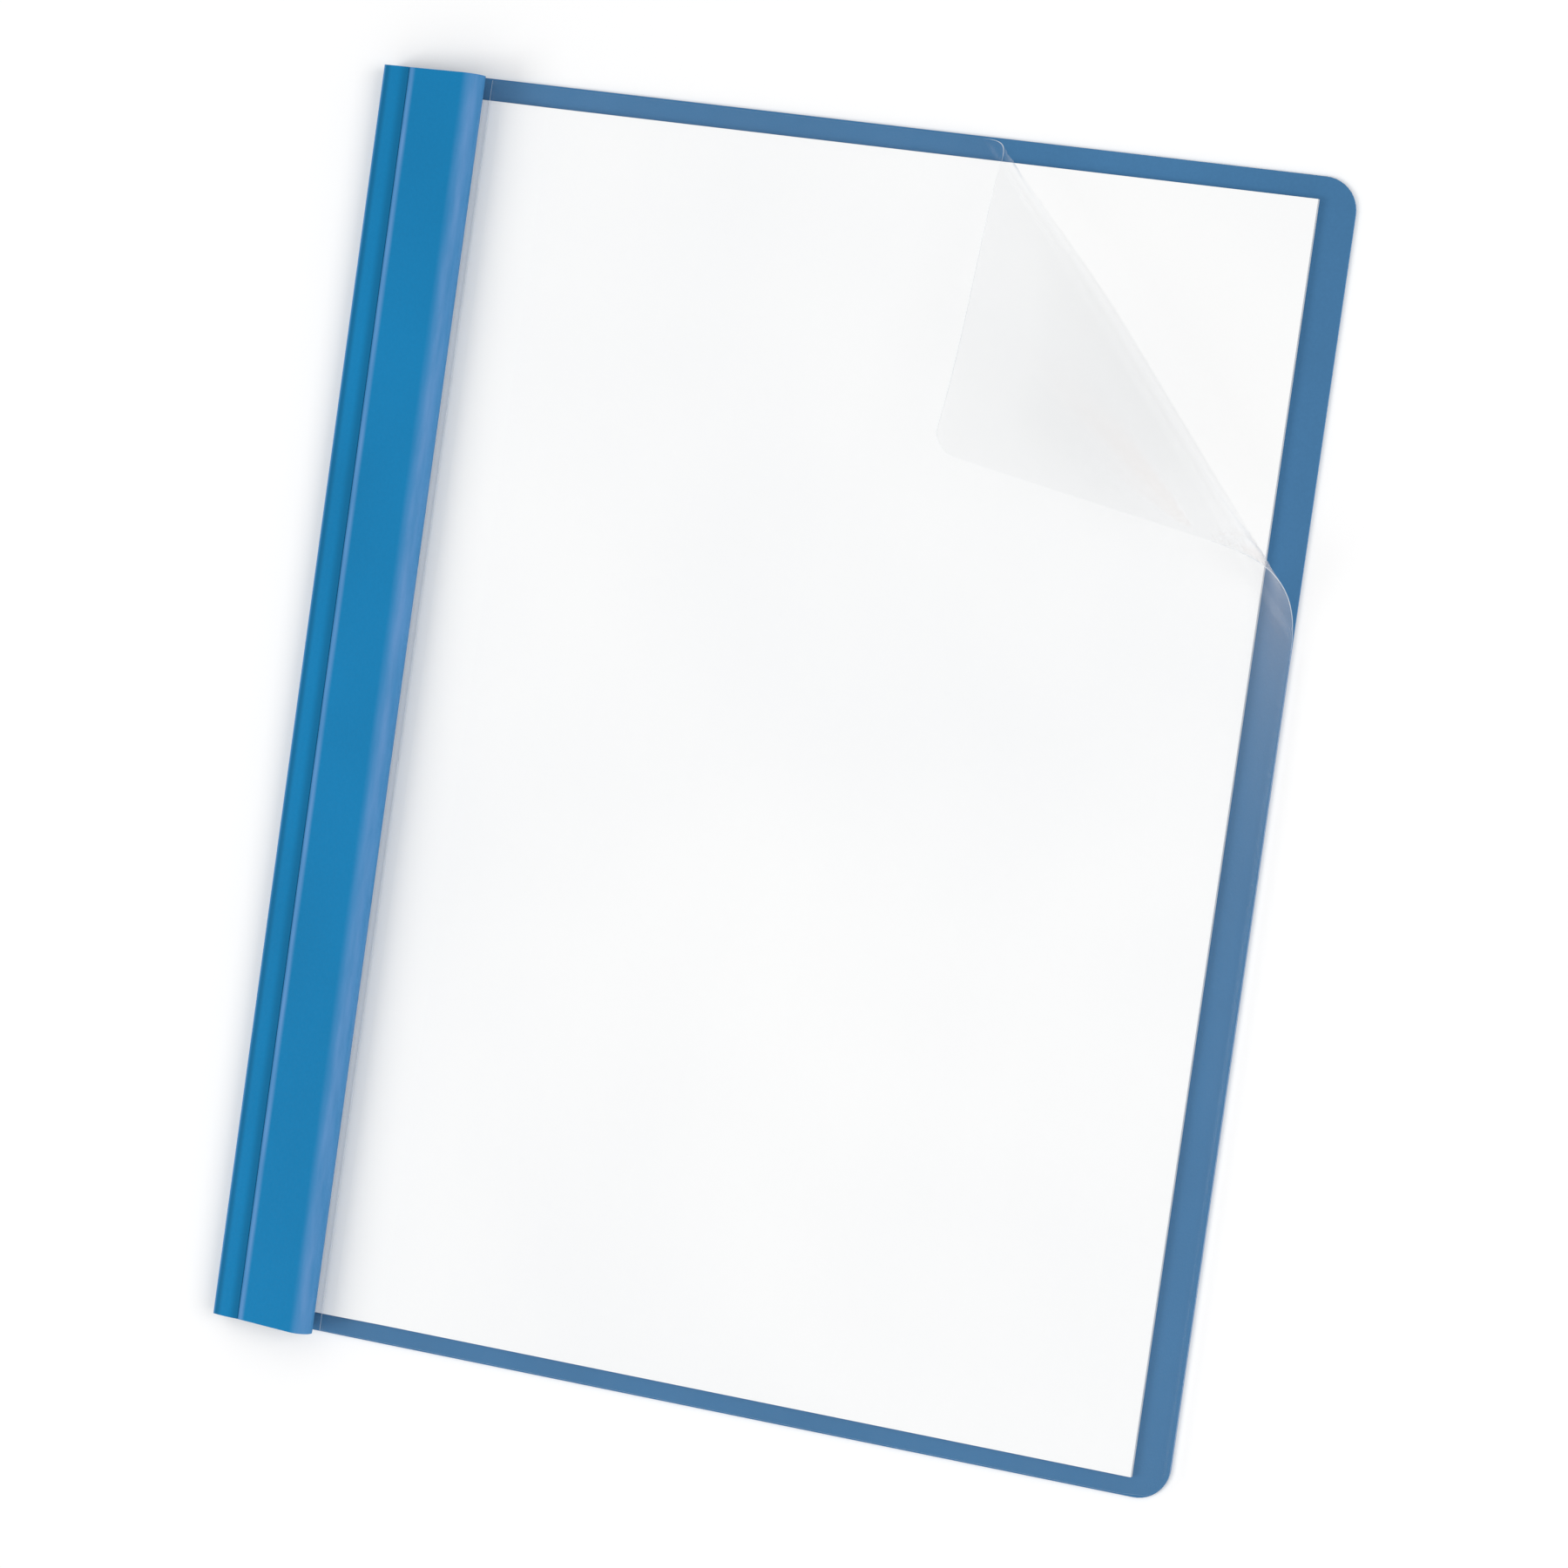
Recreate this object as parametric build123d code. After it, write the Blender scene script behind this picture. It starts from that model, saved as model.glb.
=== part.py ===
from build123d import *
import math
import os

# A clear-front report cover. One sheet of card is folded into the back, the spine, a
# narrow gusset and a hollow binding strip. A clear film is glued under the strip, and
# three tin fasteners hold the punched pages. X runs from the spine to the open edge,
# Y to the top of the pages and Z up from the desk. The origin is on the desk, under the
# middle of the closed cover. All sizes are in millimetres.

# Cover card
cover_width = 228.6
cover_height = 288.9
cover_corner = 7.5
card = 0.45
spine_height = 5.4          # desk to the fold at the top of the spine
score_offset = 7.0          # outside of the spine to the scored fold
score_height = 6.5          # desk to the scored fold
gusset_bulge = 0.35         # how far the gusset stands proud of a straight line
fold_gap = 0.08             # between the end of one panel and the round end of the next

# Binding strip: its top layer climbs from the score, folds over and comes back as a hem
strip_edge_offset = 25.4    # outside of the spine to the rounded edge of the strip
strip_slope = 13.0          # degrees that the top layer climbs
strip_fold_radius = 3.1     # middle of the card, at the rounded edge
hem_flat = 8.4              # flat part of the hem, measured back from the rounded edge
hem_joint = 3.2             # length of hem glued against the top layer
hem_joint_start = 1.2       # from the score to the end of the hem
hem_glue_length = 2.2       # length of that joint which the glue covers
hem_bend_radius = 2.0
glue = 0.06

# Pages and their punching
page_width = 215.9
page_height = 279.4
page_from_spine = 4.4
page_above_foot = 4.4       # lower edge of the cover to the lower edge of the pages
stack_thickness = 1.2
sheet = 0.1
paper_gap = 0.02
page_settle = 12.0          # from the reinforcing strip to where the pages lie on the back
hole_from_page_edge = 12.7
hole_spacing = 107.95
hole_diameter = 7.1

# Reinforcing strip inside the back, raised in its middle over the fastener bases
reinforcement_width = 23.0
reinforcement_card = 0.3
reinforcement_start = 5.6   # outside of the spine to the edge of the reinforcing strip
reinforcement_glue_width = 4.5
reinforcement_ramp = 1.2
slot_clearance = 0.5        # around the prongs where they pass through the strip

# Fasteners
tin = 0.25
base_length = 16.0
base_width = 8.0
base_gap = 0.04
prong_width = 4.4
prong_length = 20.0
prong_split = 0.2           # between the two prongs of one fastener
prong_lift = 0.1            # between the title page and a folded prong
prong_tip_chamfer = 1.4

# Clear film
film = 0.2
film_margin_width = 8.0     # part glued under the hem
film_crease_gap = 0.55      # rounded edge of the strip to the film's crease
film_over_prong = 0.15
film_over_page = 0.15
film_inset = 0.6            # cover's open edge to the film's edge
film_end_inset = 1.0        # cover's top and foot to the film's top and foot
film_corner = 6.5
film_settle = 14.0          # from the crease to where the film lies on the pages
film_hinge_gap = 0.06

# Curled corner of the film, at the open end of the top edge
curl_along_top = 87.0       # corner to the start of the bend, along the top edge
curl_along_side = 103.0     # the same, along the open edge
curl_radius = 8.0
bend_steps = 12             # straight pieces that stand for the bend's curved ends

on_floor = (Align.CENTER, Align.CENTER, Align.MIN)

# Places worked out from the sizes above
spine_x = -cover_width / 2
open_x = cover_width / 2
back_top = card
fold_reach = card / 2 + fold_gap
spine_foot = (spine_x + card / 2, card / 2)
spine_crest = (spine_x + card / 2, spine_height)
score = (spine_x + score_offset, score_height)

reinforcement_low = back_top + glue
reinforcement_high = back_top + tin + 2 * base_gap
reinforcement_top = reinforcement_high + reinforcement_card
reinforcement_x = spine_x + reinforcement_start
reinforcement_end_x = reinforcement_x + reinforcement_width

page_x = spine_x + page_from_spine
page_end_x = page_x + page_width
page_y = -cover_height / 2 + page_above_foot + page_height / 2
hole_x = page_x + hole_from_page_edge
hole_places = [page_y + hole_spacing * step for step in (-1, 0, 1)]
page_bottom_near_spine = reinforcement_top + paper_gap
page_bottom_far = back_top + paper_gap
page_settle_x = reinforcement_end_x + page_settle

stack_top_near_spine = page_bottom_near_spine + stack_thickness
title_top_near_spine = stack_top_near_spine + paper_gap + sheet
title_top_far = page_bottom_far + stack_thickness + paper_gap + sheet

prong_z = title_top_near_spine + prong_lift + tin / 2
margin_bottom = prong_z + tin / 2 + film_over_prong
hem_bottom = margin_bottom + film + glue
hem_z = hem_bottom + card / 2
strip_edge_x = spine_x + strip_edge_offset
crease = (strip_edge_x + film_crease_gap, margin_bottom + film / 2)
film_far_z = title_top_far + film_over_page + film / 2
film_end_x = open_x - film_inset
film_top_y = cover_height / 2 - film_end_inset


def on_slope(distance, drop=0.0):
    """Return the point that far along the strip's top layer and that far under it."""
    angle = math.radians(strip_slope)
    x = score[0] + distance * math.cos(angle) + drop * math.sin(angle)
    z = score[1] + distance * math.sin(angle) - drop * math.cos(angle)
    return (x, z)


def along_y(face, length=cover_height, middle=0.0):
    """Extrude an X-Z section along the spine's direction."""
    solid = extrude(Plane.XZ * face, amount=length / 2, both=True)
    return Pos(0, middle, 0) * solid


def bent_card(path, thickness=card):
    """Return the section of a folded card whose middle follows the path."""
    return make_face(path.offset_2d(thickness / 2, side=Side.BOTH))


def lying_sheet(bottom, thickness):
    """Return the section of a sheet whose underside follows the points."""
    top = [(x, z + thickness) for x, z in reversed(bottom)]
    return make_face(Polyline(*bottom, *top, close=True))


def write(node, shape):
    """Write one node's solids to its own file."""
    export_step(shape, os.path.join("parts", node + ".step"))


def back_cover():
    start_x = spine_foot[0] + fold_reach
    middle_x = (start_x + open_x) / 2
    panel = Pos(middle_x, 0, 0) * Box(open_x - start_x, cover_height, card, align=on_floor)
    corners = panel.edges().filter_by(Axis.Z).group_by(Axis.X)[-1]
    return fillet(corners, cover_corner)


def spine_panel():
    end = (spine_crest[0], spine_crest[1] - fold_reach - card / 2)
    return along_y(bent_card(Line(spine_foot, end)))


def gusset_panel():
    full = math.dist(spine_crest, score)
    share = (full - fold_reach - card / 2) / full
    end = tuple(a + (b - a) * share for a, b in zip(spine_crest, score))
    middle = ((spine_crest[0] + end[0]) / 2, (spine_crest[1] + end[1]) / 2 + gusset_bulge)
    return along_y(bent_card(ThreePointArc(spine_crest, middle, end)))


def binding_strip():
    edge_x = strip_edge_x - card / 2
    climb = (edge_x - score[0]) * math.tan(math.radians(strip_slope))
    hem_drop = card + glue
    joint_end = on_slope(hem_joint_start + hem_joint, hem_drop)
    path = FilletPolyline(
        score,
        (edge_x, score[1] + climb),
        (edge_x, hem_z),
        (edge_x - hem_flat, hem_z),
        joint_end,
        on_slope(hem_joint_start, hem_drop),
        radius=[strip_fold_radius, strip_fold_radius, hem_bend_radius, hem_bend_radius],
    )
    return along_y(bent_card(path))


def hem_glue_line():
    upper = card / 2
    corners = [
        on_slope(hem_joint_start, upper),
        on_slope(hem_joint_start + hem_glue_length, upper),
        on_slope(hem_joint_start + hem_glue_length, upper + glue),
        on_slope(hem_joint_start, upper + glue),
    ]
    return along_y(make_face(Polyline(*corners, close=True)))


def margin_span():
    """Return where the film's glued margin starts and ends along X."""
    end = crease[0] - film / 2 - film_hinge_gap
    return (end - film_margin_width, end)


def film_margin():
    start, end = margin_span()
    section = lying_sheet([(start, margin_bottom), (end, margin_bottom)], film)
    return along_y(section, cover_height - 2 * film_end_inset)


def film_glue_line():
    start = margin_span()[0]
    end = strip_edge_x - card / 2 - strip_fold_radius
    bottom = margin_bottom + film
    section = lying_sheet([(start, bottom), (end, bottom)], glue)
    return along_y(section, cover_height - 2 * film_end_inset)


def reinforcing_strip():
    flat = reinforcement_glue_width
    ramp = reinforcement_ramp
    underside = [
        (reinforcement_x, reinforcement_low),
        (reinforcement_x + flat, reinforcement_low),
        (reinforcement_x + flat + ramp, reinforcement_high),
        (reinforcement_end_x - flat - ramp, reinforcement_high),
        (reinforcement_end_x - flat, reinforcement_low),
        (reinforcement_end_x, reinforcement_low),
    ]
    strip = along_y(lying_sheet(underside, reinforcement_card), page_height, page_y)
    slot_width = prong_width + 2 * slot_clearance
    slot_length = prong_split + 2 * tin + 2 * slot_clearance
    for place in hole_places:
        slot = Box(slot_width, slot_length, 2 * reinforcement_top)
        strip -= Pos(hole_x, place, reinforcement_high) * slot
    return strip


def reinforcement_glue_lines():
    width = reinforcement_glue_width
    starts = (reinforcement_x, reinforcement_end_x - width)
    bands = []
    for start in starts:
        section = lying_sheet([(start, back_top), (start + width, back_top)], glue)
        bands.append(along_y(section, page_height, page_y))
    return Compound(children=bands)


def punched(sheets):
    """Cut the three binding holes through a sheet or a stack of them."""
    for place in hole_places:
        hole = Cylinder(hole_diameter / 2, 4 * title_top_near_spine)
        sheets -= Pos(hole_x, place, page_bottom_near_spine) * hole
    return sheets


def page_block(lift, thickness):
    """Return punched paper that lies over the reinforcing strip and on the back."""
    underside = [
        (page_x, page_bottom_near_spine + lift),
        (reinforcement_end_x, page_bottom_near_spine + lift),
        (page_settle_x, page_bottom_far + lift),
        (page_end_x, page_bottom_far + lift),
    ]
    return punched(along_y(lying_sheet(underside, thickness), page_height, page_y))


def fastener_base(place):
    """Return a fastener's base plate with its two prongs' upright roots."""
    plate_z = back_top + base_gap
    plate = Pos(hole_x, place, plate_z) * Box(base_width, base_length, tin, align=on_floor)
    root_height = prong_z - tin / 2 - fold_gap - plate_z
    for side in (-1, 1):
        root_y = place + side * (prong_split + tin) / 2
        root = Box(prong_width, tin, root_height, align=on_floor)
        plate += Pos(hole_x, root_y, plate_z) * root
    return plate


def prong(place, side):
    """Return one prong, folded down along the pages from its root."""
    pivot_y = place + side * (prong_split + tin) / 2
    leg = Pos(0, prong_length / 2, 0) * Box(prong_width, prong_length, tin)
    tip = leg.edges().filter_by(Axis.Z).group_by(Axis.Y)[-1]
    leg = chamfer(tip, prong_tip_chamfer)
    leg += Rot(0, 90, 0) * Cylinder(tin / 2, prong_width)
    turn = 0 if side > 0 else 180
    return Pos(hole_x, pivot_y, prong_z) * Rot(0, 0, turn) * leg


def curl_frame():
    """Return the bend's plane, its distance from the corner and its two half widths.

    The plane's X points from the bend's start to the film's corner and its Y runs along
    the bend, so the top edge meets the bend at +Y and the open edge at -Y.
    """
    slant = math.hypot(curl_along_top, curl_along_side)
    reach = curl_along_top * curl_along_side / slant
    towards = Vector(curl_along_side / slant, curl_along_top / slant, 0)
    corner = Vector(film_end_x, film_top_y, film_far_z)
    foot = corner - towards * reach
    plane = Plane(origin=foot, x_dir=towards, z_dir=(0, 0, 1))
    half_top = math.sqrt(curl_along_top**2 - reach**2)
    half_side = math.sqrt(curl_along_side**2 - reach**2)
    return plane, reach, half_top, half_side


def film_plan():
    """Return the outline of the film that lies flat, seen from above."""
    foot_y = -film_top_y
    outline = Polyline(
        (crease[0] - film, foot_y),
        (film_end_x, foot_y),
        (film_end_x, film_top_y - curl_along_side),
        (film_end_x - curl_along_top, film_top_y),
        (crease[0] - film, film_top_y),
        close=True,
    )
    face = make_face(outline)
    lower_open_corner = face.vertices().group_by(Axis.Y)[0].sort_by(Axis.X)[-1]
    return fillet(lower_open_corner, film_corner)


def bend_outline(reach, half_top, half_side):
    """Return the bend's outline seen along its plane's X, narrowing as the film turns."""
    turns = [math.pi * step / bend_steps for step in range(bend_steps + 1)]
    edges = []
    for half in (half_top, -half_side):
        edge = [(half, -film)]
        for turn in turns:
            width = half * (1 - curl_radius * turn / reach)
            edge.append((width, curl_radius * (1 - math.cos(turn))))
        edge.append((edge[-1][0], 2 * curl_radius + film))
        edges.append(edge)
    return edges[0] + edges[1][::-1]


def curled_corner():
    """Return the film's rolled-back corner: a half turn, then a flat flap on top."""
    plane, reach, half_top, half_side = curl_frame()
    share = (reach - math.pi * curl_radius) / reach
    height = 2 * curl_radius
    outer = curl_radius + film / 2
    inner = curl_radius - film / 2
    ring = Pos(0, curl_radius) * (Circle(outer) - Circle(inner))
    half = Pos(outer / 2, curl_radius) * Rectangle(outer, 2 * outer)
    width = 2 * (half_top + half_side)
    bend = extrude(Plane.XZ * (ring & half), amount=width / 2, both=True)
    ends = make_face(Polyline(*bend_outline(reach, half_top, half_side), close=True))
    bend &= extrude(Plane.YZ * ends, amount=outer)
    flap_outline = Polyline(
        (0, -half_side * share),
        (0, half_top * share),
        (-reach * share, 0),
        close=True,
    )
    flap = make_face(flap_outline)
    flap = fillet(flap.vertices().sort_by(Axis.X)[0], film_corner)
    flap = Pos(0, 0, height - film / 2) * extrude(flap, amount=film)
    return plane * bend + plane * flap


def clear_cover():
    settle_x = crease[0] + film_settle
    path = Polyline(crease, (settle_x, film_far_z), (open_x, film_far_z))
    lying = along_y(bent_card(path, film), 2 * film_top_y)
    over = Pos(0, 0, -film) * extrude(film_plan(), amount=crease[1] + 2 * film)
    return (lying & over) + curled_corner()


os.makedirs("parts", exist_ok=True)

write("back_cover", back_cover())
write("spine_panel", spine_panel())
write("gusset_panel", gusset_panel())
write("binding_strip", binding_strip())
write("hem_glue_line", hem_glue_line())
write("film_margin", film_margin())
write("film_glue_line", film_glue_line())
write("clear_cover", clear_cover())
write("reinforcing_strip", reinforcing_strip())
write("reinforcement_glue_lines", reinforcement_glue_lines())
write("page_stack", page_block(0, stack_thickness))
write("title_page", page_block(stack_thickness + paper_gap, sheet))

for fastener, place in zip(("foot", "middle", "head"), hole_places):
    write("fastener_base_" + fastener, fastener_base(place))
    write("prong_down_" + fastener, prong(place, -1))
    write("prong_up_" + fastener, prong(place, 1))
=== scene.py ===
import math

import bmesh
import bpy
from bpy.props import FloatProperty, FloatVectorProperty, IntProperty, PointerProperty
from mathutils import Matrix, Vector


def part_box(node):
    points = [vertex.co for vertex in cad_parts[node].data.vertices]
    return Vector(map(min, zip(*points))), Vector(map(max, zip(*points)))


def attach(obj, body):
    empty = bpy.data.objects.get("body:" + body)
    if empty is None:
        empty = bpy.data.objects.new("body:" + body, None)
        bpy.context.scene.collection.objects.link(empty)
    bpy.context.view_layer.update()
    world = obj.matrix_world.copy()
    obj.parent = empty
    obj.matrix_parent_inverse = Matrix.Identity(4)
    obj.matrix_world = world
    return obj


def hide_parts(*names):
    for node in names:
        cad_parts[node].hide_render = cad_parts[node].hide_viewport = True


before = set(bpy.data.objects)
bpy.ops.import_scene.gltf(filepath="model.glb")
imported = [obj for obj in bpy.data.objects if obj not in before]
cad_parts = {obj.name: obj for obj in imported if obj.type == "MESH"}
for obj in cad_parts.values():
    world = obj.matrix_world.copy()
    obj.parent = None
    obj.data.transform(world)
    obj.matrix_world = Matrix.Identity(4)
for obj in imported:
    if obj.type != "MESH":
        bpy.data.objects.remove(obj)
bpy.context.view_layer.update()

bl_info = {
    "name": "Clear-Front Report Cover",
    "version": (1, 0, 0),
    "blender": (4, 5, 0),
    "location": "View3D > Sidebar > Report Cover",
    "description": "Finishes a folded card report cover with pages, tin fasteners and a clear film",
    "category": "Object",
}

# Sizes and places are in metres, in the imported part's own frame

UP = Vector((0, 0, 1))
ALONG_PAGE = Vector((0, 1, 0))

CARD_NODES = ("back_cover", "spine_panel", "gusset_panel", "binding_strip")
FASTENER_PARTS = ("fastener_base", "prong_down", "prong_up")
FASTENER_PLACES = ("foot", "middle", "head")
GLUE_NODES = ("hem_glue_line", "film_glue_line", "reinforcement_glue_lines")
SHEET = 0.0001              # thickness of one page

# Sizes of the patterns in the materials
DYE_PATCH = 0.045
CARD_FIBRE = 0.0007
FOLD_STREAK = 0.0016
CUT_FUZZ = 0.0002
PAPER_CLOUD = 0.11
PAPER_FIBRE = 0.0005
PAPER_WAVE = 0.05
ROLLING_LINE = 0.00012
TIN_SPOT = 0.003
GLUE_LUMP = 0.0012
FILM_SCUFF = 0.006
FILM_RIPPLE = 0.02
EDGE_NICK = 0.002
FLOOR_PATCH = 0.4

# Creases that fan out from the curl's lower end: each one's direction in radians from
# the curl's own, and its length in metres
CREASES = (
    (0.10, 0.040),
    (0.21, 0.055),
    (0.36, 0.030),
    (-2.62, 0.020),
    (-2.30, 0.022),
    (-1.95, 0.018),
)
CREASE_SPREAD = 0.08        # radians to each side of a crease
CREASE_START = 0.005        # from the curl's end to where the creases are full
CREASED_REACH = 0.060       # how far round the curl's end the film's mesh is finer
CREASE_HEIGHT = 0.0003
CREASE_HAZE = 0.09

# Painted sheen on the open edge near the curl's end, drawn as milky haze where the lifting film would
# reflect the light
PAINTED_SHEEN = 0.15
SHEEN_FADE = 0.026         # length over which it fades towards the foot
SHEEN_LEAD = 0.020         # how far it reaches above the curl's end
SHEEN_START = 0.012        # from the open edge to where it starts
SHEEN_FULL = 0.004         # from the open edge to where it is full

# Stage
FLOOR_HALF_WIDTH = 4.0
FLOOR_DROP = 0.0002         # keeps the floor off the underside of the card
LAMP_SIZE = 1.3
KEY_PLACE = (-1.9, -0.7, 1.7)
FILL_PLACE = (1.9, 0.3, 1.9)
CAMERA_AIM = Vector((0.0037, -0.0032, 0))
CAMERA_NEAREST = 0.05
CAMERA_FARTHEST = 20.0


# Sizes and colours that a user would change


class CardSettings(bpy.types.PropertyGroup):
    outer_colour: FloatVectorProperty(
        name="Outer Face",
        description="Colour of the card on the spine and the binding strip",
        subtype="COLOR",
        default=(0.005, 0.187, 0.412),
    )
    inner_colour: FloatVectorProperty(
        name="Inner Face",
        description="Colour of the card inside the back, a little duller",
        subtype="COLOR",
        default=(0.055, 0.170, 0.332),
    )
    # Also the colour of a painted highlight on the strip's rounded open edge and beside its score, as
    # well as of real wear
    wear_and_highlight_colour: FloatVectorProperty(
        name="Worn Fold",
        description="Colour of the card where a fold has stretched its surface",
        subtype="COLOR",
        default=(0.112, 0.278, 0.545),
    )
    grain: FloatProperty(
        name="Grain",
        description="Width of the pressed grain in the card",
        unit="LENGTH",
        default=0.0006,
    )


class FilmSettings(bpy.types.PropertyGroup):
    thickness: FloatProperty(
        name="Thickness",
        description="Thickness of the clear film",
        unit="LENGTH",
        default=0.0002,
    )
    settle: FloatProperty(
        name="Settling Length",
        description="How far from its crease the film comes down to the pages",
        unit="LENGTH",
        default=0.014,
    )
    corner: FloatProperty(
        name="Corner Radius",
        description="Radius of the film's rounded corners",
        unit="LENGTH",
        default=0.0065,
    )
    curl_along_top: FloatProperty(
        name="Curl along Top",
        description="From the film's corner to the start of the curl on the top edge",
        unit="LENGTH",
        default=0.087,
    )
    curl_along_side: FloatProperty(
        name="Curl along Side",
        description="From the film's corner to the start of the curl on the open edge",
        unit="LENGTH",
        default=0.103,
    )
    tight_radius: FloatProperty(
        name="Tight End",
        description="Radius of the curl where it starts on the top edge",
        unit="LENGTH",
        default=0.0045,
    )
    cell: FloatProperty(
        name="Mesh Size",
        description="Size of the film's faces where it lies flat",
        unit="LENGTH",
        default=0.002,
    )
    bend_faces: IntProperty(
        name="Faces round the Curl",
        description="How many rows of faces go round the curl",
        min=8,
        default=32,
    )
    haze: FloatProperty(
        name="Haze",
        description="How milky the flat film looks",
        subtype="FACTOR",
        min=0.0,
        max=1.0,
        default=0.006,
    )


class StageSettings(bpy.types.PropertyGroup):
    camera_distance: FloatProperty(
        name="Camera Distance",
        description="From the middle of the cover to the camera",
        unit="LENGTH",
        default=1.2,
    )
    camera_bearing: FloatProperty(
        name="Camera Bearing",
        description="Direction of the camera over the desk, from the open edge towards the top",
        subtype="ANGLE",
        default=math.radians(9.1),
    )
    camera_height: FloatProperty(
        name="Camera Height",
        description="Angle of the camera above the desk",
        subtype="ANGLE",
        default=math.radians(70.2),
    )
    camera_roll: FloatProperty(
        name="Camera Roll",
        description="How far the camera leans from the direction of the pages",
        subtype="ANGLE",
        default=math.radians(-8.1),
    )
    lens: FloatProperty(
        name="Lens",
        description="Focal length of the camera in millimetres",
        default=123.75,
    )
    daylight: FloatProperty(
        name="Room Light",
        description="Strength of the even light from all round",
        default=0.66,
    )
    key_power: FloatProperty(
        name="Key Light",
        description="Power of the large lamp on the spine's side, in watts",
        default=23.0,
    )
    fill_power: FloatProperty(
        name="Fill Light",
        description="Power of the large lamp on the open edge's side, in watts",
        default=25.0,
    )


# Tools for materials


def new_finish(name):
    """Return a new material with its node tree and its main shader."""
    finish = bpy.data.materials.new(name)
    finish.use_nodes = True
    tree = finish.node_tree
    return finish, tree, tree.nodes["Principled BSDF"]


def feed(tree, socket, value):
    """Link a socket to another one, or set its plain value."""
    if isinstance(value, bpy.types.NodeSocket):
        tree.links.new(value, socket)
    else:
        socket.default_value = value


def calculate(tree, operation, first, second=0.0):
    """Return the result of one sum on two values."""
    node = tree.nodes.new("ShaderNodeMath")
    node.operation = operation
    feed(tree, node.inputs[0], first)
    feed(tree, node.inputs[1], second)
    return node.outputs[0]


def remap(tree, value, low, high, new_low=0.0, new_high=1.0, smooth=False):
    """Return a value stretched from one range to another and held inside it."""
    node = tree.nodes.new("ShaderNodeMapRange")
    node.interpolation_type = "SMOOTHSTEP" if smooth else "LINEAR"
    feed(tree, node.inputs["Value"], value)
    node.inputs["From Min"].default_value = low
    node.inputs["From Max"].default_value = high
    node.inputs["To Min"].default_value = new_low
    node.inputs["To Max"].default_value = new_high
    return node.outputs["Result"]


def blend_colours(tree, share, first, second):
    """Return a colour between two others."""
    node = tree.nodes.new("ShaderNodeMix")
    node.data_type = "RGBA"
    feed(tree, node.inputs["Factor"], share)
    for socket, colour in ((node.inputs["A"], first), (node.inputs["B"], second)):
        feed(tree, socket, colour)
    return node.outputs["Result"]


def solid_colour(colour, brightness=1.0):
    """Return a colour with its alpha, made lighter or darker."""
    return (*[channel * brightness for channel in colour], 1.0)


def two_tone(tree, pattern, dark, light):
    """Return a colour that follows the middle of a random pattern."""
    share = remap(tree, pattern, 0.3, 0.7)
    return blend_colours(tree, share, solid_colour(dark), solid_colour(light))


def place_on_object(tree, stretch=(1, 1, 1)):
    """Return the object's own coordinates in metres, stretched along its axes."""
    coordinates = tree.nodes.new("ShaderNodeTexCoord").outputs["Object"]
    mapping = tree.nodes.new("ShaderNodeMapping")
    mapping.inputs["Scale"].default_value = stretch
    feed(tree, mapping.inputs["Vector"], coordinates)
    return mapping.outputs["Vector"]


def part_of(tree, vector, axis):
    """Return one axis of a vector."""
    node = tree.nodes.new("ShaderNodeSeparateXYZ")
    feed(tree, node.inputs[0], vector)
    return node.outputs[axis]


def facing_axis(tree, axis):
    """Return how squarely the surface faces along one of the object's axes."""
    normal = tree.nodes.new("ShaderNodeTexCoord").outputs["Normal"]
    return calculate(tree, "ABSOLUTE", part_of(tree, normal, axis))


def mottle(tree, place, feature, detail=3.0):
    """Return soft random patches of about the given size in metres."""
    node = tree.nodes.new("ShaderNodeTexNoise")
    node.inputs["Scale"].default_value = 1 / feature
    node.inputs["Detail"].default_value = detail
    feed(tree, node.inputs["Vector"], place)
    return node.outputs["Fac"]


def pebbles(tree, place, feature):
    """Return a random pressed grain of the given width in metres."""
    node = tree.nodes.new("ShaderNodeTexVoronoi")
    node.feature = "SMOOTH_F1"
    node.inputs["Scale"].default_value = 1 / feature
    feed(tree, node.inputs["Vector"], place)
    return node.outputs["Distance"]


def band(tree, across, middle, half_width):
    """Return 1 along a soft line, falling to 0 beside it."""
    offset = calculate(tree, "ABSOLUTE", calculate(tree, "SUBTRACT", across, middle))
    return remap(tree, offset, 0.0, half_width, new_low=1.0, new_high=0.0, smooth=True)


def roughen(tree, shader, height, depth, strength=1.0):
    """Raise the surface by a height pattern, depth metres at most."""
    node = tree.nodes.new("ShaderNodeBump")
    node.inputs["Strength"].default_value = strength
    node.inputs["Distance"].default_value = depth
    feed(tree, node.inputs["Height"], height)
    feed(tree, shader.inputs["Normal"], node.outputs["Normal"])


# Card


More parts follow.
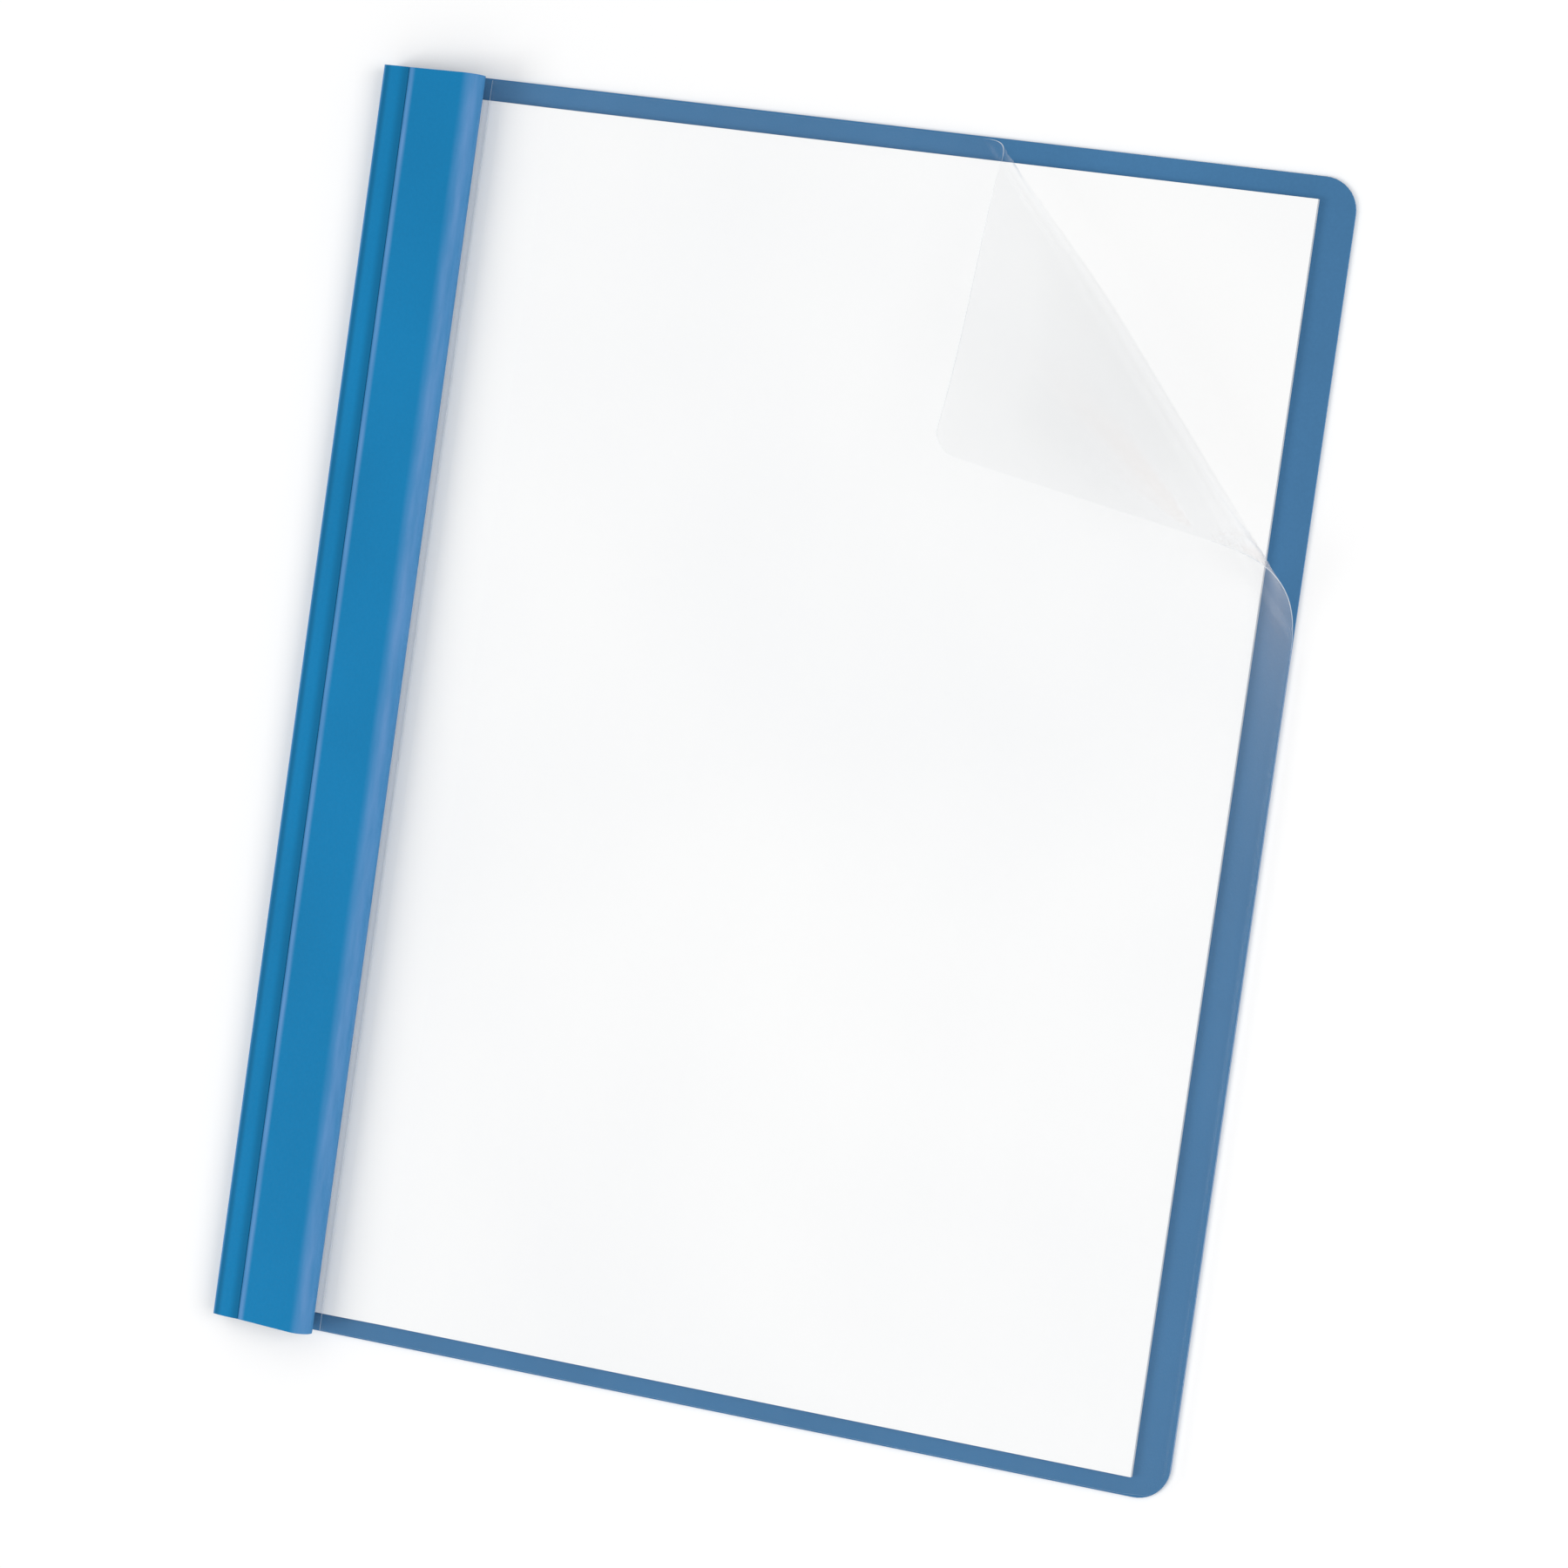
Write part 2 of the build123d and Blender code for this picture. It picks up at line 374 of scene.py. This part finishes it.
def card_finish(name, colour, wear_and_highlight_bands, painted_shades, cut_axes):
    """Return dyed card: pressed grain, mottled dye, pale cut edges, fold wear and painted light and
    shade.

    Each pale band and each dark band is a place and a half width across the cover, in metres. A pale
    band is wear with a painted highlight there, and a dark band is painted shade there.
    """
    settings = bpy.context.scene.report_cover_card
    finish, tree, shader = new_finish(name)
    place = place_on_object(tree)
    across = part_of(tree, place, "X")

    dye = mottle(tree, place, DYE_PATCH, 4.0)
    fibres = mottle(tree, place, CARD_FIBRE, 2.0)
    dye_share = calculate(tree, "MULTIPLY", dye, 0.7)
    fibre_share = calculate(tree, "MULTIPLY", fibres, 0.3)
    tone = calculate(tree, "ADD", dye_share, fibre_share)
    share = remap(tree, tone, 0.3, 0.7)
    shown = blend_colours(tree, share, solid_colour(colour, 0.93), solid_colour(colour, 1.07))
    # Painted shade: darker bands where the rounded gusset turns away from the light and down into the
    # score's groove
    for middle, half_width in painted_shades:
        shade = calculate(tree, "MULTIPLY", band(tree, across, middle, half_width), 0.75)
        shown = blend_colours(tree, shade, shown, solid_colour(colour, 0.62))

    streaks = mottle(tree, place_on_object(tree, (1, 0.12, 1)), FOLD_STREAK)
    # Paler bands: partly wear where a fold stretched the card, partly a painted highlight where a
    # rounded edge or a score's lip turns to the light
    for middle, half_width in wear_and_highlight_bands:
        wear_and_highlight = band(tree, across, middle, half_width)
        patches = remap(tree, streaks, 0.25, 0.7, new_low=0.55, new_high=1.0)
        patchy = calculate(tree, "MULTIPLY", wear_and_highlight, patches)
        shown = blend_colours(tree, patchy, shown, solid_colour(settings.wear_and_highlight_colour))

    for axis, least in cut_axes:
        cut = remap(tree, facing_axis(tree, axis), least, 1.0)
        fuzz = remap(tree, mottle(tree, place, CUT_FUZZ, 2.0), 0.3, 0.7, new_low=0.35, new_high=0.8)
        fuzzy = calculate(tree, "MULTIPLY", cut, fuzz)
        shown = blend_colours(tree, fuzzy, shown, solid_colour(settings.wear_and_highlight_colour, 1.25))
    feed(tree, shader.inputs["Base Color"], shown)

    grain = pebbles(tree, place, settings.grain)
    feed(tree, shader.inputs["Roughness"], remap(tree, grain, 0.0, 0.9, new_low=0.52, new_high=0.66))
    shader.inputs["Specular IOR Level"].default_value = 0.08
    surface = calculate(tree, "ADD", grain, calculate(tree, "MULTIPLY", fibres, 0.5))
    roughen(tree, shader, surface, depth=0.00003, strength=0.6)
    return finish


class REPORTCOVER_OT_card(bpy.types.Operator):
    """Give the back, the spine, the gusset and the binding strip their dyed card"""

    bl_idname = "report_cover.card"
    bl_label = "Finish the Card"

    def execute(self, context):
        settings = context.scene.report_cover_card
        gusset_low, gusset_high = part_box("gusset_panel")
        strip_low, strip_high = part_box("binding_strip")
        score_x = strip_low.x
        edge_x = strip_high.x
        back = card_finish(
            "dyed_card_inside",
            settings.inner_colour,
            wear_and_highlight_bands=[],
            painted_shades=[],
            cut_axes=[("X", 0.5), ("Y", 0.5)],
        )
        spine = card_finish(
            "dyed_card_spine",
            settings.outer_colour,
            wear_and_highlight_bands=[],
            painted_shades=[],
            cut_axes=[("Y", 0.8)],
        )
        gusset = card_finish(
            "dyed_card_gusset",
            settings.outer_colour,
            wear_and_highlight_bands=[(gusset_low.x, 0.0007)],
            # Painted shade on both sides of the rounded gusset
            painted_shades=[(gusset_low.x + 0.0010, 0.0014), (gusset_high.x - 0.0004, 0.0024)],
            cut_axes=[("Y", 0.8)],
        )
        strip = card_finish(
            "dyed_card_strip",
            settings.outer_colour,
            # Beside the score, wear and a painted highlight; along the rounded open edge, a painted
            # highlight
            wear_and_highlight_bands=[(score_x + 0.0008, 0.0012), (edge_x - 0.0012, 0.0032)],
            # Painted shade in the score's groove
            painted_shades=[(score_x, 0.0005)],
            cut_axes=[("Y", 0.8)],
        )
        for node, finish in zip(CARD_NODES, (back, spine, gusset, strip)):
            show_finish(node, finish)
        return {"FINISHED"}


def show_finish(node, finish):
    """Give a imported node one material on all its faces."""
    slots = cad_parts[node].data.materials
    slots.clear()
    slots.append(finish)


# Reinforcing strip and pages


def plain_card_finish(name, colour):
    """Return the thinner card of the reinforcing strip."""
    return card_finish(name, colour, wear_and_highlight_bands=[], painted_shades=[], cut_axes=[("X", 0.5), ("Y", 0.8)])


def paper_finish(name, brightness):
    """Return uncoated paper: fine fibres, faint cockling and, on its edges, sheet lines."""
    finish, tree, shader = new_finish(name)
    place = place_on_object(tree)
    clouds = mottle(tree, place, PAPER_CLOUD, 2.0)
    fibres = mottle(tree, place, PAPER_FIBRE)
    face = blend_colours(
        tree,
        remap(tree, clouds, 0.3, 0.7),
        solid_colour((0.955, 0.960, 0.965), brightness),
        solid_colour((1.0, 1.0, 0.995), brightness),
    )
    height = part_of(tree, place, "Z")
    turns = calculate(tree, "MULTIPLY", height, math.tau / SHEET)
    lines = calculate(tree, "SINE", turns)
    edge = remap(tree, facing_axis(tree, "Z"), 0.6, 0.2)
    gaps = remap(tree, lines, -1.0, 1.0, new_low=0.55, new_high=0.0)
    line_shade = calculate(tree, "MULTIPLY", edge, gaps)
    shown = blend_colours(tree, line_shade, face, (0.52, 0.52, 0.53, 1.0))
    feed(tree, shader.inputs["Base Color"], shown)
    feed(tree, shader.inputs["Roughness"], remap(tree, fibres, 0.3, 0.7, new_low=0.82, new_high=0.95))
    shader.inputs["Specular IOR Level"].default_value = 0.25
    waves = calculate(tree, "MULTIPLY", mottle(tree, place, PAPER_WAVE, 1.0), 8.0)
    roughen(tree, shader, calculate(tree, "ADD", fibres, waves), depth=0.00002, strength=0.5)
    return finish


class REPORTCOVER_OT_pages(bpy.types.Operator):
    """Give the pages their paper and the reinforcing strip its card"""

    bl_idname = "report_cover.pages"
    bl_label = "Finish the Pages"

    def execute(self, context):
        show_finish("page_stack", paper_finish("uncoated_paper", 0.88))
        show_finish("title_page", paper_finish("title_paper", 0.91))
        colour = context.scene.report_cover_card.inner_colour
        show_finish("reinforcing_strip", plain_card_finish("plain_dyed_card", colour))
        return {"FINISHED"}


# Fasteners and glue


def tin_finish(name):
    """Return tin-plated steel with fine rolling lines along the strip."""
    finish, tree, shader = new_finish(name)
    lines = mottle(tree, place_on_object(tree, (1, 0.03, 1)), ROLLING_LINE, 4.0)
    spots = mottle(tree, place_on_object(tree), TIN_SPOT, 4.0)
    shown = blend_colours(
        tree, remap(tree, spots, 0.35, 0.7), (0.66, 0.66, 0.65, 1.0), (0.76, 0.76, 0.75, 1.0)
    )
    feed(tree, shader.inputs["Base Color"], shown)
    shader.inputs["Metallic"].default_value = 1.0
    feed(tree, shader.inputs["Roughness"], remap(tree, lines, 0.3, 0.7, new_low=0.2, new_high=0.42))
    roughen(tree, shader, lines, depth=0.000008, strength=0.5)
    return finish


def glue_finish(name):
    """Return dried clear glue: faintly amber, partly see-through and a little lumpy."""
    finish, tree, shader = new_finish(name)
    lumps = mottle(tree, place_on_object(tree), GLUE_LUMP)
    shown = two_tone(tree, lumps, (0.60, 0.54, 0.40), (0.78, 0.74, 0.62))
    feed(tree, shader.inputs["Base Color"], shown)
    feed(tree, shader.inputs["Roughness"], remap(tree, lumps, 0.3, 0.7, new_low=0.18, new_high=0.4))
    feed(tree, shader.inputs["Alpha"], remap(tree, lumps, 0.3, 0.7, new_low=0.45, new_high=0.7))
    roughen(tree, shader, lumps, depth=0.00003, strength=0.7)
    return finish


class REPORTCOVER_OT_fasteners(bpy.types.Operator):
    """Give the fasteners their tin plate and the glue lines their dried glue"""

    bl_idname = "report_cover.fasteners"
    bl_label = "Finish the Fasteners"

    def execute(self, context):
        tin = tin_finish("tin_plate")
        for part in FASTENER_PARTS:
            for place in FASTENER_PLACES:
                show_finish(f"{part}_{place}", tin)
        glue = glue_finish("dried_glue")
        for node in GLUE_NODES:
            show_finish(node, glue)
        return {"FINISHED"}


# Clear film


def film_finish(name, haze_and_sheen_attribute):
    """Return clear film: see-through, glossy, with faint scuffs, milky creases and a painted sheen on
    the open edge near the curl.
    """
    haze = bpy.context.scene.report_cover_film.haze
    finish, tree, shader = new_finish(name)
    place = place_on_object(tree)
    scuffs = mottle(tree, place_on_object(tree, (1, 0.15, 1)), FILM_SCUFF, 5.0)
    milky = remap(tree, scuffs, 0.4, 0.8, new_low=haze, new_high=haze * 1.6)
    body_colour = (0.86, 0.93, 1.0, 1.0)
    if haze_and_sheen_attribute:
        # The attribute holds the crease haze plus the painted sheen on the open edge; high values
        # also tint the haze grey
        crease_haze_and_sheen = tree.nodes.new("ShaderNodeAttribute")
        crease_haze_and_sheen.attribute_name = haze_and_sheen_attribute
        milky = calculate(tree, "ADD", milky, crease_haze_and_sheen.outputs["Fac"])
        haze_and_sheen_tint = remap(tree, crease_haze_and_sheen.outputs["Fac"], 0.0, 0.08)
        body_colour = blend_colours(tree, haze_and_sheen_tint, body_colour, (0.82, 0.75, 0.72, 1.0))

    body = tree.nodes.new("ShaderNodeBsdfDiffuse")
    feed(tree, body.inputs["Color"], body_colour)
    clear = tree.nodes.new("ShaderNodeBsdfTransparent")
    clear.inputs["Color"].default_value = (0.999, 0.9995, 1.0, 1.0)
    hazy = tree.nodes.new("ShaderNodeMixShader")
    feed(tree, hazy.inputs["Fac"], milky)
    feed(tree, hazy.inputs[1], clear.outputs[0])
    feed(tree, hazy.inputs[2], body.outputs[0])

    shine = tree.nodes.new("ShaderNodeBsdfGlossy")
    shine.inputs["Color"].default_value = (1.0, 1.0, 1.0, 1.0)
    ripples = mottle(tree, place, FILM_RIPPLE, 2.0)
    feed(tree, shine.inputs["Roughness"], remap(tree, scuffs, 0.3, 0.8, new_low=0.05, new_high=0.14))
    roughen(tree, shine, ripples, depth=0.0001, strength=0.3)

    facing = tree.nodes.new("ShaderNodeLayerWeight")
    facing.inputs["Blend"].default_value = 0.5
    grazing = calculate(tree, "POWER", facing.outputs["Facing"], 5.0)
    mirrored = remap(tree, grazing, 0.0, 1.0, new_low=0.004, new_high=0.45)
    surface = tree.nodes.new("ShaderNodeMixShader")
    feed(tree, surface.inputs["Fac"], mirrored)
    feed(tree, surface.inputs[1], hazy.outputs[0])
    feed(tree, surface.inputs[2], shine.outputs[0])
    feed(tree, tree.nodes["Material Output"].inputs["Surface"], surface.outputs[0])
    tree.nodes.remove(shader)
    return finish


def film_edge_finish(name):
    """Return the film's cut edge, where light gathers and it looks milky."""
    finish, tree, shader = new_finish(name)
    nicks = mottle(tree, place_on_object(tree), EDGE_NICK)
    shown = two_tone(tree, nicks, (0.72, 0.78, 0.85), (0.90, 0.93, 0.96))
    feed(tree, shader.inputs["Base Color"], shown)
    feed(tree, shader.inputs["Roughness"], remap(tree, nicks, 0.3, 0.7, new_low=0.35, new_high=0.6))
    shader.inputs["Alpha"].default_value = 0.65
    return finish


class Curl:
    """Where and how the film's corner rolls back, worked out from its sizes."""

    def __init__(self, settings):
        low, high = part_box("clear_cover")
        top = settings.curl_along_top
        side = settings.curl_along_side
        slant = math.hypot(top, side)
        self.reach = top * side / slant
        self.towards = Vector((side / slant, top / slant, 0))
        self.along = Vector((-self.towards.y, self.towards.x, 0))
        self.start = Vector((high.x, high.y, 0)) - self.towards * self.reach
        self.radius = (high.z - low.z - settings.thickness) / 2
        self.tight_radius = settings.tight_radius
        self.top_start = math.sqrt(top**2 - self.reach**2)
        self.bend_length = math.pi * self.radius
        share = 1 - self.bend_length / self.reach
        self.side_end = -math.sqrt(side**2 - self.reach**2) * share

    def place(self, flat):
        """Return how far past the start and how far along the bend a flat point is."""
        offset = flat - self.start
        return offset.dot(self.towards), offset.dot(self.along)

    def roll(self, past, along):
        """Return the forward and upward shift of a point past the start, and its turn.

        The curl is full at the open edge and tighter towards the top edge.
        """
        tightness = eased(along, 0, self.top_start)
        radius = self.radius + (self.tight_radius - self.radius) * tightness
        turn = min(past / radius, math.pi)
        spare = past - turn * radius
        forward = radius * math.sin(turn) - spare
        height = radius * (1 - math.cos(turn))
        return forward - past, height, turn


def joined_to(verts):
    """Return the vertices with their edges and faces."""
    edges = {edge for vert in verts for edge in vert.link_edges}
    faces = {face for vert in verts for face in vert.link_faces}
    return [
        *verts,
        *sorted(edges, key=lambda edge: edge.index),
        *sorted(faces, key=lambda face: face.index),
    ]


def round_corner(bm, corner, radius, cuts=9):
    """Trim a corner of the flat film to an arc."""
    side = math.copysign(1, corner.y)
    middle = corner - Vector((1, side, 0)) * radius
    near = [vert for vert in bm.verts if (vert.co - corner).length < 2 * radius]
    for cut in range(cuts):
        angle = math.pi / 2 * (cut + 0.5) / cuts
        away = Vector((math.cos(angle), side * math.sin(angle), 0))
        result = bmesh.ops.bisect_plane(
            bm,
            geom=joined_to(near),
            plane_co=middle + away * radius,
            plane_no=away,
            clear_outer=True,
        )
        near = [part for part in result["geom"] if isinstance(part, bmesh.types.BMVert)]


def flat_film(settings, curl):
    """Return the film in its flat outline, with rows of faces where it will bend."""
    low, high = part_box("clear_cover")
    width = high.x - low.x - settings.thickness / 2
    length = high.y - low.y
    bm = bmesh.new()
    bmesh.ops.create_grid(
        bm,
        x_segments=round(width / settings.cell),
        y_segments=round(length / settings.cell),
        size=0.5,
    )
    bmesh.ops.scale(bm, vec=(width, length, 1), verts=bm.verts)
    bmesh.ops.translate(bm, vec=(high.x - width / 2, 0, 0), verts=bm.verts)
    for end_y in (low.y, high.y):
        round_corner(bm, Vector((high.x, end_y, 0)), settings.corner)
    parts = joined_to([vert for vert in bm.verts if curl.place(vert.co)[0] > -settings.cell * 2])
    for row in range(settings.bend_faces + 1):
        past = curl.bend_length * row / settings.bend_faces
        result = bmesh.ops.bisect_plane(
            bm,
            geom=parts,
            plane_co=curl.start + curl.towards * past,
            plane_no=curl.towards,
        )
        parts = result["geom"]
    pinch = curl.start + curl.along * curl.side_end + curl.towards * curl.bend_length
    creased = [
        edge
        for edge in bm.edges
        if all((vert.co - pinch).length < CREASED_REACH for vert in edge.verts)
        and all(curl.place(vert.co)[0] > 0 for vert in edge.verts)
    ]
    bmesh.ops.subdivide_edges(bm, edges=creased, cuts=2, use_grid_fill=True)
    bmesh.ops.remove_doubles(bm, verts=bm.verts, dist=0.00002)
    return bm


def eased(value, low, high):
    """Return 0 below a range and 1 above it, with a smooth rise between."""
    share = min(max((value - low) / (high - low), 0), 1)
    return share * share * (3 - 2 * share)


def crease_fan(past, along, curl):
    """Return how strongly the creases that fan out from the curl's end show at a place."""
    spare = past - curl.bend_length
    run = along - curl.side_end
    distance = math.hypot(spare, run)
    angle = math.atan2(spare, run)
    strength = 0.0
    for direction, length in CREASES:
        sharpness = math.exp(-(((angle - direction) / CREASE_SPREAD) ** 2))
        strength += sharpness * math.exp(-((distance / length) ** 2))
    return strength * min(distance / CREASE_START, 1)


def painted_edge_sheen(place, curl, edge_x):
    """Return the painted sheen on the open edge near the curl's end, drawn as milky haze."""
    end_y = (curl.start + curl.along * curl.side_end).y
    below = end_y - place.y
    if below < -SHEEN_LEAD:
        return 0.0
    fading = math.exp(-max(below, 0) / SHEEN_FADE)
    return PAINTED_SHEEN * fading * eased(place.x, edge_x - SHEEN_START, edge_x - SHEEN_FULL)


def bend_film(bm, settings, curl):
    """Bring the film down to the pages and roll its corner back."""
    low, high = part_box("clear_cover")
    margin_low, margin_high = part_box("film_margin")
    crease_z = (margin_low.z + margin_high.z) / 2
    resting_z = low.z + settings.thickness / 2
    crease_haze_and_sheen = bm.verts.layers.float.new("crease_haze_and_sheen")
    for vert in bm.verts:
        past, along = curl.place(vert.co)
        settled = eased(vert.co.x, low.x, low.x + settings.settle)
        vert.co.z = crease_z + (resting_z - crease_z) * settled
        if past > 0:
            forward, height, turn = curl.roll(past, along)
            vert.co += curl.towards * forward + UP * height
            inward = UP * math.cos(turn) - curl.towards * math.sin(turn)
            fan = crease_fan(past, along, curl)
            vert.co += inward * CREASE_HEIGHT * fan
            vert[crease_haze_and_sheen] = CREASE_HAZE * fan
        # Painted sheen on the open edge near the curl's end, added to the crease haze
        vert[crease_haze_and_sheen] += painted_edge_sheen(vert.co, curl, high.x)


class REPORTCOVER_OT_film(bpy.types.Operator):
    """Make the clear film with its curled corner, and finish its glued margin"""

    bl_idname = "report_cover.film"
    bl_label = "Make the Film"

    def execute(self, context):
        settings = context.scene.report_cover_film
        curl = Curl(settings)
        bm = flat_film(settings, curl)
        bend_film(bm, settings, curl)
        bmesh.ops.recalc_face_normals(bm, faces=bm.faces)
        for face in bm.faces:
            face.smooth = True
        mesh = bpy.data.meshes.new("clear_film")
        bm.to_mesh(mesh)
        bm.free()
        film = bpy.data.objects.new("clear_film", mesh)
        context.scene.collection.objects.link(film)
        wall = film.modifiers.new("wall", "SOLIDIFY")
        wall.thickness = settings.thickness
        wall.offset = 0.0
        wall.material_offset_rim = 1
        mesh.materials.append(film_finish("clear_polyester", "crease_haze_and_sheen"))
        mesh.materials.append(film_edge_finish("film_cut_edge"))
        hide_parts("clear_cover")
        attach(film, "front")
        show_finish("film_margin", film_finish("clear_polyester_margin", None))
        return {"FINISHED"}


# Stage


def floor_finish():
    """Return pale, even studio paper."""
    finish, tree, shader = new_finish("studio_paper")
    tone = mottle(tree, place_on_object(tree), FLOOR_PATCH, 2.0)
    shown = two_tone(tree, tone, (0.93, 0.93, 0.93), (0.95, 0.95, 0.95))
    feed(tree, shader.inputs["Base Color"], shown)
    shader.inputs["Roughness"].default_value = 0.9
    shader.inputs["Specular IOR Level"].default_value = 0.1
    return finish


def make_floor():
    bm = bmesh.new()
    bmesh.ops.create_grid(bm, x_segments=8, y_segments=8, size=FLOOR_HALF_WIDTH)
    bmesh.ops.translate(bm, vec=-UP * FLOOR_DROP, verts=bm.verts)
    mesh = bpy.data.meshes.new("studio_floor")
    bm.to_mesh(mesh)
    bm.free()
    mesh.materials.append(floor_finish())
    floor = bpy.data.objects.new("studio_floor", mesh)
    bpy.context.scene.collection.objects.link(floor)


def make_lamp(name, power, place):
    """Hang a large square lamp that shines at the middle of the cover."""
    lamp = bpy.data.lights.new(name, "AREA")
    lamp.energy = power
    lamp.size = LAMP_SIZE
    holder = bpy.data.objects.new(name, lamp)
    holder.location = place
    holder.rotation_mode = "QUATERNION"
    holder.rotation_quaternion = (-Vector(place)).to_track_quat("-Z", "Y")
    bpy.context.scene.collection.objects.link(holder)


def make_room_light(strength):
    world = bpy.data.worlds.new("studio")
    world.use_nodes = True
    background = world.node_tree.nodes["Background"]
    background.inputs["Color"].default_value = (1.0, 1.0, 1.0, 1.0)
    background.inputs["Strength"].default_value = strength
    bpy.context.scene.world = world


def make_camera(settings):
    """Place the camera from its bearing, height and roll, aimed at the cover."""
    bearing = settings.camera_bearing
    height = settings.camera_height
    back = Vector(
        (
            math.cos(height) * math.cos(bearing),
            math.cos(height) * math.sin(bearing),
            math.sin(height),
        )
    )
    page_up = (ALONG_PAGE - back * back.y).normalized()
    sideways = page_up.cross(back)
    up = page_up * math.cos(settings.camera_roll) + sideways * math.sin(settings.camera_roll)
    right = up.cross(back)
    lens = bpy.data.cameras.new("camera")
    lens.lens = settings.lens
    lens.clip_start = CAMERA_NEAREST
    lens.clip_end = CAMERA_FARTHEST
    camera = bpy.data.objects.new("camera", lens)
    turn = Matrix((right, up, back)).transposed().to_4x4()
    place = CAMERA_AIM + back * settings.camera_distance
    camera.matrix_world = Matrix.Translation(place) @ turn
    bpy.context.scene.collection.objects.link(camera)
    bpy.context.scene.camera = camera


class REPORTCOVER_OT_stage(bpy.types.Operator):
    """Set up the floor, the lamps and the camera"""

    bl_idname = "report_cover.stage"
    bl_label = "Set the Stage"

    def execute(self, context):
        settings = context.scene.report_cover_stage
        make_floor()
        make_room_light(settings.daylight)
        make_lamp("key_lamp", settings.key_power, KEY_PLACE)
        make_lamp("fill_lamp", settings.fill_power, FILL_PLACE)
        make_camera(settings)
        context.scene.view_settings.view_transform = "Standard"
        return {"FINISHED"}


class REPORTCOVER_PT_sidebar(bpy.types.Panel):
    bl_idname = "REPORTCOVER_PT_sidebar"
    bl_label = "Report Cover"
    bl_space_type = "VIEW_3D"
    bl_region_type = "UI"
    bl_category = "Report Cover"

    def draw(self, context):
        for operator in OPERATORS:
            self.layout.operator(operator.bl_idname)
        for name in SETTINGS:
            box = self.layout.box()
            group = getattr(context.scene, name)
            for field in group.bl_rna.properties.keys():
                if field not in ("rna_type", "name"):
                    box.prop(group, field)


SETTINGS = {
    "report_cover_card": CardSettings,
    "report_cover_film": FilmSettings,
    "report_cover_stage": StageSettings,
}
OPERATORS = (
    REPORTCOVER_OT_stage,
    REPORTCOVER_OT_card,
    REPORTCOVER_OT_pages,
    REPORTCOVER_OT_fasteners,
    REPORTCOVER_OT_film,
)
CLASSES = (*SETTINGS.values(), *OPERATORS, REPORTCOVER_PT_sidebar)


def register():
    for made in CLASSES:
        bpy.utils.register_class(made)
    for name, group in SETTINGS.items():
        setattr(bpy.types.Scene, name, PointerProperty(type=group))


def unregister():
    for name in SETTINGS:
        delattr(bpy.types.Scene, name)
    for made in reversed(CLASSES):
        bpy.utils.unregister_class(made)


def main():
    register()
    for operator in OPERATORS:
        group, action = operator.bl_idname.split(".")
        getattr(getattr(bpy.ops, group), action)()


if __name__ == "__main__":
    main()
